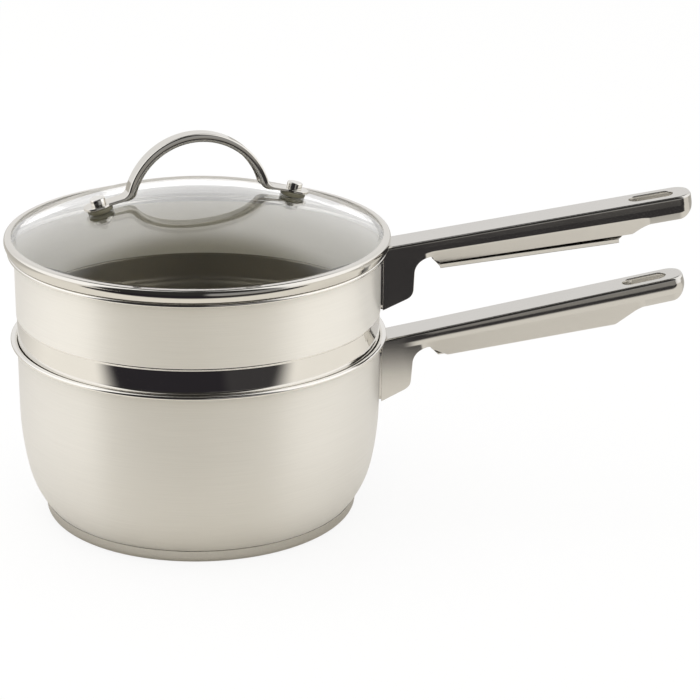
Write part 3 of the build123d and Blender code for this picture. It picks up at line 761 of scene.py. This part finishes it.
def handle_half(h, side, wall, tilt, top, rim, seam, crown_rise, skirt, tail_lean):
    """Outside of one side of a handle, as a grid and its faces: its section carried along the plan's edge.

    Each station's section runs from the middle of the top, or from the slot, over the top edge, down the
    slightly crowned wall and, in the grip, round the fold and in to the keel. It is cut off at the side
    outline and at the seam. Along the nose the stations turn with the plan's rounded corner.
    """
    half = h.width / 2
    tail, nose = h.reach - TAIL_RUN, h.reach - NOSE
    q, slot_y = handle_stations(h)
    turn = np.concatenate([np.zeros(len(q)), np.radians(np.arange(5, 91, 5)), np.full(2, QUARTER_TURN)])
    on_nose = turn > 0
    way_x, way_y = np.sin(turn), np.cos(turn)
    edge_x = np.concatenate([q, np.full(on_nose.sum(), nose)]) + NOSE * way_x
    edge_y = half - NOSE + NOSE * way_y
    edge_y[-2:] = (half - NOSE) / 2, 0
    start = np.concatenate([slot_y, np.zeros(on_nose.sum())])
    grip_start, fold_in, fold_out = 12.7, (18.5, 25.5), (tail - 4, tail + 3)
    crown_in, lean_in, least_fold, least_crown = (9, 30), (100, 112), 0.002, 0.005
    grip = np.clip((edge_x - grip_start) / (tail - grip_start), 0, 1)
    fold = h.fold_near + (h.fold_far - h.fold_near) * grip
    depth = h.depth_near + (h.depth_far - h.depth_near) * grip
    folded = smooth(*fold_in, edge_x) * (1 - smooth(*fold_out, edge_x))
    folded = np.maximum(folded, least_fold)
    crown = crown_rise * np.maximum(smooth(*crown_in, edge_x), least_crown)
    lean = np.arctan2(half - KEEL_HALF, depth - fold) * folded
    lean = np.maximum(lean, tail_lean * smooth(*lean_in, edge_x))
    open_drop, whole = 60, 0.98
    drop = np.where(folded > whole, np.hypot(half - KEEL_HALF, depth - fold), open_drop)
    keel_x = half - crown - drop * np.sin(lean)
    keel_y = -fold - drop * np.cos(lean)
    crown_bend, fold_bend, keel_bend, strip_bend = 13, 2.5, 1.4, 0.8
    points, normals = rounded_path([
        (start, 0, 0),
        (half - crown, 0, h.top_edge),
        (half, -(h.sheet + fold) / 2, crown_bend),
        (half - crown, -fold, fold_bend),
        (keel_x, keel_y, keel_bend),
        (-STRIP_START, keel_y, strip_bend),
        (-STRIP_START - STRIP_RUN, keel_y + STRIP_RISE, 0),
    ], steps=10, support=0.25)
    lip, slant = (11.2, 40) if side < 0 else (14, 52)
    outline_x, outline_y = handle_outline(h, skirt, lip, slant)
    bottom = np.interp(edge_x, outline_x, outline_y)
    sine, cosine = math.sin(tilt), math.cos(tilt)
    plate, past_rim, wall_rows = 1.3, 2.25, 30

    def pulled(x, y, n):
        """Place along the handle, with the first stretch spread to start at the wall or clear of the rim."""
        z = top + x * sine + n * cosine
        near_rim = smooth(rim - 3.2, rim - 2.2, top + n * cosine + 0.5)
        clear = wall + plate + past_rim * near_rim
        first = (np.sqrt(clear ** 2 - y ** 2) - wall + n * sine) / cosine
        return np.where(x < PULLED_RUN, first + x * (PULLED_RUN - first) / PULLED_RUN, x), z

    # The outline is read again where the stretch that is pulled has come to stand
    for _ in range(6):
        place, _ = pulled(edge_x, half, bottom)
        bottom = np.interp(place, outline_x, outline_y)
    points, normals = cut_off(points, -normals, points[:, 1] - bottom)
    past_wall = np.arange(len(points))[:, None] > wall_rows
    from_seam = points[:, 0] - side * seam - SEAM_GAP
    points, normals = cut_off(points, normals, np.where(past_wall, from_seam, 1))
    out = points[:, 0] - half
    x = edge_x + way_x * out
    y = edge_y + way_y * out
    x[0] = np.where(on_nose, nose, x[0])
    y[0] = np.where(on_nose, 0, points[0, 0])
    n = points[:, 1]
    x, _ = pulled(x, y, n)
    grid = np.stack([wall + x * cosine - n * sine, side * y, top + x * sine + n * cosine], axis=-1)
    faces = grid_faces(*grid.shape[:2])
    return grid, faces if side > 0 else faces[:, ::-1]


def handle_lip(h, side, tilt, top):
    """Strip turned in along the skirt, on a circle round the pan's axis, as a grid and its faces."""
    lip_radius, inset, lip_width, lift = 92.5, 0.5, 4.2, 0.5
    below_top, below_skirt = 1.8, 3.6
    y = np.linspace(h.width / 2 - inset, h.width / 2 - lip_width, 10)[:, None]
    drop = np.linspace(-below_top, -h.skirt_depth - below_skirt, 14)[None]
    x = np.sqrt(lip_radius ** 2 - y ** 2)
    z = top + drop * math.cos(tilt) + lift
    grid = np.stack(np.broadcast_arrays(x, side * y, z), axis=-1)
    faces = grid_faces(*grid.shape[:2])
    return grid, faces if side < 0 else faces[:, ::-1]


class BOILER_OT_pan_handles(bpy.types.Operator):
    """Makes both long handles, folded from sheet, with skirt, seamed grip, open tail and hanging slot"""

    bl_idname = "boiler.pan_handles"
    bl_label = "Make pan handles"

    def execute(self, context):
        h = in_mm(context.scene.boiler_handles)
        pan = in_mm(context.scene.boiler_pans)
        rows = {
            "upper": {
                "tilt": h.upper_tilt, "top": pan.upper_rim - 1.1, "rim": pan.upper_rim,
                "seam": -4.1, "crown_rise": 0.08, "skirt": 11.2, "tail_lean": 0.15,
            },
            "lower": {
                "tilt": h.lower_tilt, "top": pan.lower_rim - 4.25, "rim": pan.lower_rim,
                "seam": 0.8, "crown_rise": 0.45, "skirt": 9.7, "tail_lean": 0.085,
            },
        }
        edge_round, tail_inside = 0.22, 27
        for which, row in rows.items():
            parts = [handle_half(h, side, pan.wall_radius, **row) for side in (-1, 1)]
            parts += [handle_lip(h, side, row["tilt"], row["top"]) for side in (-1, 1)]
            firsts = np.cumsum([0] + [grid.size // 3 for grid, _ in parts])
            points = np.concatenate([grid.reshape(-1, 3) for grid, _ in parts])
            faces = np.concatenate([cells + first for (_, cells), first in zip(parts, firsts)])
            tail = pan.wall_radius + h.reach - tail_inside
            mesh = sheet_shell(points, faces, h.sheet, edge_round, tail)
            nodes, looks = [f"{which}_handle_shell"], ["handle steel", "handle inside steel"]
            add_piece(mesh, f"{which}_pan_handle", f"{which}_pan", nodes, looks)
        return {"FINISHED"}


def lid_facts(lid):
    """The dome's sphere and the tilt and height of the fastenings, from the lid's settings."""
    low = lid.band_bottom + lid.band_sheet + lid.glass_gap
    flange = low + lid.glass
    sphere = (lid.dome_radius ** 2 + lid.dome_rise ** 2) / (2 * lid.dome_rise)
    centre = flange + lid.dome_rise - sphere
    tilt = math.asin(lid.hole_place / sphere)
    hole = centre + sphere * math.cos(tilt)
    return types.SimpleNamespace(flange=flange, sphere=sphere, centre=centre, tilt=tilt, hole=hole, low=low)


def dome_side(sphere, centre, level):
    """One face of the dome from the axis outwards, and the bend that carries it on into the flat edge.

    The face follows its sphere to a little inside the place where it would meet the edge's level. The bend's
    corner stands where the face's tangent there meets that level, and its radius reaches back to that place.
    """
    before_edge, reach_back = 1.8, 0.98
    meet = math.sqrt(sphere ** 2 - (level - centre) ** 2)
    last = math.asin((meet - before_edge) / sphere)
    face = bearing(np.linspace(0, last, 64)) * sphere + np.array([0, centre])
    tangent = (face[-1, 1] - level) / math.sin(last)
    corner = face[-1, 0] + tangent * math.cos(last)
    return face, (corner, level, reach_back * tangent / math.tan(last / 2))


def at_lid_hole(points, lid, side):
    """Points moved from the dome's top at the axis to a fastening, square to the glass."""
    facts = lid_facts(lid)
    turn = Matrix.Rotation(lid.arch_turn + math.radians(SIDES[side]), 4, "Z")
    place = Matrix.Translation((lid.hole_place, 0, facts.hole)) @ Matrix.Rotation(facts.tilt, 4, "Y")
    move = np.array(turn @ place)
    return points @ move[:3, :3].T + move[:3, 3]


class BOILER_OT_lid(bpy.types.Operator):
    """Makes the domed glass and the steel band rolled round its edge"""

    bl_idname = "boiler.lid"
    bl_label = "Make glass and band"

    def execute(self, context):
        lid = in_mm(context.scene.boiler_lid)
        facts = lid_facts(lid)
        steps = context.scene.boiler_stage.spin_steps
        edge = lid.band_radius - lid.band_sheet - lid.glass_gap
        upper, upper_corner = dome_side(facts.sphere, facts.centre, facts.flange)
        lower, lower_corner = dome_side(facts.sphere - lid.glass, facts.centre, facts.low)
        ground = 1.1
        rim, _ = rounded_path([
            (*upper[-1], 0), upper_corner,
            (edge, facts.flange, ground), (edge, facts.low, ground),
            lower_corner, (*lower[-1], 0),
        ], steps=10)
        mesh = turned_mesh(np.concatenate([upper, rim[1:-1], lower[::-1]]), steps)
        add_piece(mesh, "lid_dome", "lid", ["lid_glass"], ["lid glass"], crisp_above=15)
        hold, lower_in, belly_out, belly_rise, upper_in = 3.7, 1.35, 0.04, 3.4, 0.45
        lower_bend, belly_bend, upper_bend = 1.0, 3.2, 1.8
        outside, normals = rounded_path([
            (lid.band_radius - hold, lid.band_bottom, 0),
            (lid.band_radius - lower_in, lid.band_bottom, lower_bend),
            (lid.band_radius + belly_out, lid.band_bottom + belly_rise, belly_bend),
            (lid.band_radius - upper_in, lid.band_top, upper_bend),
            (lid.band_radius - hold, lid.band_top, 0),
        ], steps=10, support=0.1)
        section = np.concatenate([outside, (outside - normals * lid.band_sheet)[::-1]])
        mesh = turned_mesh(section, steps, ring=True)
        looks = ["lid steel"]
        add_piece(mesh, "lid_band", "lid", ["lid_rim_band"], looks, crisp_above=50)
        return {"FINISHED"}


# The lid handle's fixed measures in millimetres
FOOT, FOOT_RUN = 6, 1.7  # radius of a foot's round end, and the run before it
ARCH_SHEET = 1.4  # thickness of the strip
ARCH_DROP = 6.6  # the arch's centre below the dome's top
FOOT_BEND = 5.0  # bend between arch and foot
FOOT_LEVEL = 3.6  # a foot's top above the glass


def arch_path(lid):
    """Half of the arch in side view from its top: places, the way up from the strip, and the share of foot.

    An arc about the arch's centre, a reverse bend and the line of the foot, square to the fastening.
    """
    facts = lid_facts(lid)
    arch_centre = np.array([0, facts.flange + lid.dome_rise - ARCH_DROP])
    normal = bearing(facts.tilt)
    slope = np.array([normal[1], -normal[0]])
    hole = np.array([lid.hole_place, facts.hole])
    reach = lid.arch_radius + FOOT_BEND
    level = (hole - arch_centre) @ normal + FOOT_LEVEL + FOOT_BEND
    out = math.sqrt(reach ** 2 - level ** 2)
    bend_centre = arch_centre + slope * out + normal * level
    first = math.atan2(*(bend_centre - arch_centre))
    arch_up = bearing(np.linspace(0, first, 60))
    arch_place = arch_centre + arch_up * lid.arch_radius
    bend_up = bearing(np.linspace(first, facts.tilt, 17)[1:])
    bend_place = bend_centre - bend_up * FOOT_BEND
    start = bend_place[-1]
    stretch = (hole - start) @ slope
    cap = FOOT * np.sin(np.linspace(0, QUARTER_TURN, 14))
    inner_cap = -FOOT * np.cos(np.linspace(0, QUARTER_TURN, 12))
    spots = np.concatenate([
        np.linspace(0.2, max(stretch - FOOT - 0.1, 0.4), 4), stretch + inner_cap,
        stretch + np.array([0, 0.8, FOOT_RUN]), stretch + FOOT_RUN + cap,
    ])
    spots = np.unique(np.round(spots, 4))
    spots = spots[(spots > 0.1) & (spots <= stretch + FOOT_RUN + FOOT + 1e-6)]
    places = np.concatenate([arch_place, bend_place, start + spots[:, None] * slope])
    ups = np.concatenate([arch_up, bend_up, np.tile(normal, (len(spots), 1))])
    foot = np.concatenate([np.zeros(len(arch_up)), np.linspace(0, 1, 17)[1:], np.ones(len(spots))])
    return places, ups, (places - hole) @ slope, foot


class BOILER_OT_lid_handle(bpy.types.Operator):
    """Makes the arched strip with rolled-down sides and flat feet, carried along its side view"""

    bl_idname = "boiler.lid_handle"
    bl_label = "Make lid handle"

    def execute(self, context):
        lid = in_mm(context.scene.boiler_lid)
        places, ups, along, foot = arch_path(lid)
        beyond = np.maximum(np.maximum(-along, along - FOOT_RUN), 0)
        stadium = np.sqrt(np.maximum(FOOT ** 2 - beyond ** 2, 0))
        half = np.full(len(along), lid.arch_width / 2)
        half = np.where((along > -FOOT) & (along < 0), np.maximum(half, stadium), half)
        half = np.where(along >= 0, np.maximum(stadium, 0.02), half)
        foot_depth = smooth(0, 1, foot)
        arch_share = 1 - foot_depth
        depth = np.maximum(lid.arch_depth + (ARCH_SHEET - lid.arch_depth) * foot_depth, ARCH_SHEET + 0.02)
        top_edge, foot_edge, lip_edge, inner_edge, hem = 0.9, 0.45, 0.45, 0.35, 1.4
        edge = np.minimum(top_edge + (foot_edge - top_edge) * foot_depth, half * 0.85)
        lip = np.minimum(lip_edge, half * 0.5)
        small = np.minimum(inner_edge, (depth - ARCH_SHEET) * 0.4)
        wall = np.minimum(hem, half * 0.6)
        arch_bulge, arch_round, belly_place = 0.32, 4, 0.55
        bulge = arch_bulge * arch_share + 0.01
        round_side = arch_round * arch_share + 0.2
        belly = -depth * belly_place
        side = [
            (half, belly, round_side), (half - bulge, -depth, lip), (half - wall, -depth, small),
            (half - wall, -ARCH_SHEET, small),
        ]
        mirrored = [(-x, y, radius) for x, y, radius in reversed(side[1:])]
        over = [(-half, belly, round_side), (-half + bulge, 0, edge), (half - bulge, 0, edge)]
        loop, _ = rounded_path(over + side + mirrored, steps=6, closed=True, support=0.15)
        across, drop = loop[:, 0].T, loop[:, 1].T
        x = places[:, :1] + ups[:, :1] * drop
        z = places[:, 1:] + ups[:, 1:] * drop
        right = np.stack([x, across, z], axis=-1)
        left = right[:0:-1] * np.array([-1, 1, 1])
        grid = np.concatenate([left, right]) @ np.array(Matrix.Rotation(lid.arch_turn, 3, "Z")).T
        mesh = merged_mesh(grid, grid_faces(*grid.shape[:2], wrap_columns=True))
        looks = ["lid steel"]
        add_piece(mesh, "lid_arch", "lid", ["lid_handle"], looks, crisp_above=50)
        return {"FINISHED"}


class BOILER_OT_lid_fastenings(bpy.types.Operator):
    """Makes the round cap nut and the soft seal of each foot, turned and set square to the glass"""

    bl_idname = "boiler.lid_fastenings"
    bl_label = "Make cap nuts and seals"

    def execute(self, context):
        lid = in_mm(context.scene.boiler_lid)
        nut_radius, nut_base, nut_top = 3.8, 3.62, 6.8
        hole, seal_radius, seal_top = 2.1, 6.2, 2.16
        nut, _ = rounded_path([
            (0, nut_top, 0), (nut_radius, nut_top, 0.6), (nut_radius, nut_base, 0.1), (0, nut_base, 0),
        ], steps=10)
        seal, _ = rounded_path([
            (hole, 0, 0), (seal_radius, 0, 0.5), (seal_radius, seal_top, 0.7), (hole, seal_top, 0),
        ], steps=8)
        rows = [
            (nut, False, "lid_nut", "lid_cap_nut", "polished_steel", "rim steel"),
            (seal, True, "lid_seal", "lid_upper_seal", "seal_rubber", "seal silicone"),
        ]
        steps = 72
        for side in SIDES:
            for section, ring, name, node, slot, finish in rows:
                points = at_lid_hole(spun(section, steps), lid, side)
                mesh = merged_mesh(points, grid_faces(len(section), steps, ring, True))
                nodes = [f"{node}_{side}"]
                add_piece(mesh, f"{name}_{side}", "lid", nodes, [finish], crisp_above=40)
        return {"FINISHED"}


class BOILER_OT_plain_parts(bpy.types.Operator):
    """Gives the CAD parts that stay in view, or inside, their finishes"""

    bl_idname = "boiler.plain_parts"
    bl_label = "Finish the plain parts"

    def execute(self, context):
        kept = {"base_core": "core aluminium"}
        for which in ("upper", "lower"):
            kept[f"{which}_handle_weld_plate"] = "handle steel"
        for side in SIDES:
            kept[f"lid_lower_seal_{side}"] = "seal silicone"
            kept[f"lid_washer_{side}"] = "rim steel"
            kept[f"lid_screw_{side}"] = "rim steel"
        for node, finish in kept.items():
            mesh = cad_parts[node].data
            mesh.materials.clear()
            mesh.materials.append(finishes()[finish])
        return {"FINISHED"}


def room_light(recipe):
    """What polished metal sees round it: bright low behind and at both sides, dark above and in front."""
    x, y, z = recipe.parts("Generated")
    flat = (x * x + y * y + 0.0001).math("SQRT")
    ahead = -1 * y / flat
    side = x / flat
    open_sides = recipe.ramp(ahead - side * 0.12, 0.66, 0.48)
    reach = recipe.ramp(side * side, 0.2, 0.9, 0.0, 0.35)
    low = 1 - recipe.ramp(z - reach, 0.62, 0.78)
    boxes = recipe.ramp(side * side, 0.35, 0.95, 0.9, 1.25)
    hazy = recipe.ramp(z, 0.4, 0.12) * recipe.ramp(side, 0.03, 0.13) * 0.35
    zenith = recipe.ramp(z, 0.95, 0.985) * 0.08
    level = (open_sides * low).math("MAXIMUM", hazy).math("MAXIMUM", zenith)
    bright = recipe.node("CombineXYZ", {0: boxes, 1: boxes * 0.99, 2: boxes * 0.985})
    return recipe.blend(level, (0.035, 0.034, 0.033, 1), bright)


def studio_world():
    """World that is white to the camera, soft light to matt surfaces, and the room to polished ones."""
    world = bpy.data.worlds.new("studio")
    recipe = Recipe(world)
    camera_ray = recipe.ray("Camera")
    even = camera_ray.math("MAXIMUM", recipe.ray("Diffuse"))
    depth = recipe.parts("Generated")[1]
    dim, warm = (0.72, 0.72, 0.73, 1), (1.0, 0.89, 0.62, 1)
    behind = recipe.blend(recipe.ramp(depth, -0.1, 0.6), WHITE, dim)
    soft = recipe.blend(recipe.ramp(depth, -0.4, -0.95), behind, warm)
    plain = recipe.blend(camera_ray, soft, WHITE)
    seen = recipe.blend(even, room_light(recipe), plain)
    recipe.finish(recipe.node("Background", {"Color": seen, "Strength": 1.0}), "World")
    return world


def floor_paper(tone):
    """Pale paper: nearly white to the camera, with painted shade near the pan as soft light sees it, and
    dark in reflections.

    In reflections it is pale only behind its front edge, which bows round the pan, and dimmer far behind.
    """
    paper = bpy.data.materials.new("pale paper")
    recipe = Recipe(paper)
    x, y, _ = recipe.parts("Object")
    aside = x + 0.1
    front = y + aside * aside * 0.28
    paper_edge = recipe.ramp(front, -0.235, -0.155)
    beyond = recipe.ramp(front, -0.8, -0.5, 0.35, 0.0) * recipe.ramp(x, 0.05, 0.2)
    glossy, camera_ray = recipe.ray("Glossy"), recipe.ray("Camera")
    # Painted shade: the paper turns darker near the pan for soft light only, so less bounced light reaches
    # the lower walls
    near = recipe.ramp(x * x + y * y, 0.07, 0.008) * recipe.ray("Diffuse") * 0.5
    behind = recipe.ramp(y, 0.02, 0.3) * glossy * 0.38
    dark = glossy * (1 - paper_edge.math("MAXIMUM", beyond))
    dark = dark.math("MAXIMUM", near).math("MAXIMUM", behind)
    pale_tone = recipe.blend(camera_ray, (0.86, 0.835, 0.79, 1), tinted(tone))
    dark_tone = recipe.blend(recipe.ramp(x, 0.06, 0.1), (0.022, 0.02, 0.024, 1), (0.042, 0.04, 0.042, 1))
    lit = recipe.node("BsdfDiffuse", {"Color": recipe.blend(dark, pale_tone, dark_tone)})
    blank = recipe.node("Emission", {"Color": WHITE, "Strength": 1.0})
    recipe.finish(recipe.node("MixShader", {0: camera_ray * 0.87, 1: lit, 2: blank}))
    return paper


class BOILER_OT_stage(bpy.types.Operator):
    """Makes the pale floor, the soft light, the bright and dark room that the steel shows, and the camera"""

    bl_idname = "boiler.stage"
    bl_label = "Make stage"

    def execute(self, context):
        scene = context.scene
        s = in_mm(scene.boiler_stage)
        scene.world = studio_world()
        reach = 4.0
        mesh = bpy.data.meshes.new("floor")
        corners = [(-reach, -reach, 0), (reach, -reach, 0), (reach, reach, 0), (-reach, reach, 0)]
        mesh.from_pydata(corners, [], [(0, 1, 2, 3)])
        mesh.materials.append(floor_paper(scene.boiler_stage.floor))
        floor = placed("floor", mesh)
        lamp_data = bpy.data.lights.new("soft lamp", "AREA")
        lamp_data.shape = "DISK"
        lamp_data.size = 1.2
        lamp_data.energy = 6
        lamp = placed("soft lamp", lamp_data)
        lamp.matrix_world = Matrix.Translation((-0.3, 0.2, 1.6))
        lamp.visible_glossy = False
        lamp.visible_transmission = False
        camera_data = bpy.data.cameras.new("camera")
        camera_data.lens = s.focal
        camera_data.sensor_width = 36
        camera_data.clip_start = 0.01
        camera = placed("camera", camera_data)
        camera.matrix_world = (
            Matrix.Translation((0, -s.camera_distance * MM, s.camera_height * MM))
            @ Matrix.Rotation(-s.camera_turn, 4, "Z")
            @ Matrix.Rotation(QUARTER_TURN - s.camera_pitch, 4, "X")
            @ Matrix.Rotation(s.camera_roll, 4, "Z")
        )
        scene.camera = camera
        scene.view_settings.view_transform = "Standard"
        return {"FINISHED"}


class BOILER_PT_panel(bpy.types.Panel):
    """Sidebar panel with the operators and the settings"""

    bl_idname = "BOILER_PT_panel"
    bl_label = "Double Boiler"
    bl_space_type = "VIEW_3D"
    bl_region_type = "UI"
    bl_category = "Double Boiler"

    def draw(self, context):
        layout = self.layout
        for operator in OPERATORS:
            layout.operator(operator.bl_idname)
        for name in SETTINGS:
            group = getattr(context.scene, name)
            box = layout.box()
            for key in group.__annotations__:
                box.prop(group, key)


SETTINGS = {
    "boiler_pans": PanSettings,
    "boiler_handles": HandleSettings,
    "boiler_lid": LidSettings,
    "boiler_finishes": FinishSettings,
    "boiler_stage": StageSettings,
}
OPERATORS = [
    BOILER_OT_pans,
    BOILER_OT_pan_handles,
    BOILER_OT_lid,
    BOILER_OT_lid_handle,
    BOILER_OT_lid_fastenings,
    BOILER_OT_plain_parts,
    BOILER_OT_stage,
]
CLASSES = list(SETTINGS.values()) + OPERATORS + [BOILER_PT_panel]


def register():
    for cls in CLASSES:
        bpy.utils.register_class(cls)
    for name, group in SETTINGS.items():
        setattr(bpy.types.Scene, name, PointerProperty(type=group))


def unregister():
    for name in SETTINGS:
        delattr(bpy.types.Scene, name)
    for cls in reversed(CLASSES):
        bpy.utils.unregister_class(cls)


def main():
    register()
    for operator in OPERATORS:
        family, name = operator.bl_idname.split(".")
        getattr(getattr(bpy.ops, family), name)()


if __name__ == "__main__":
    main()
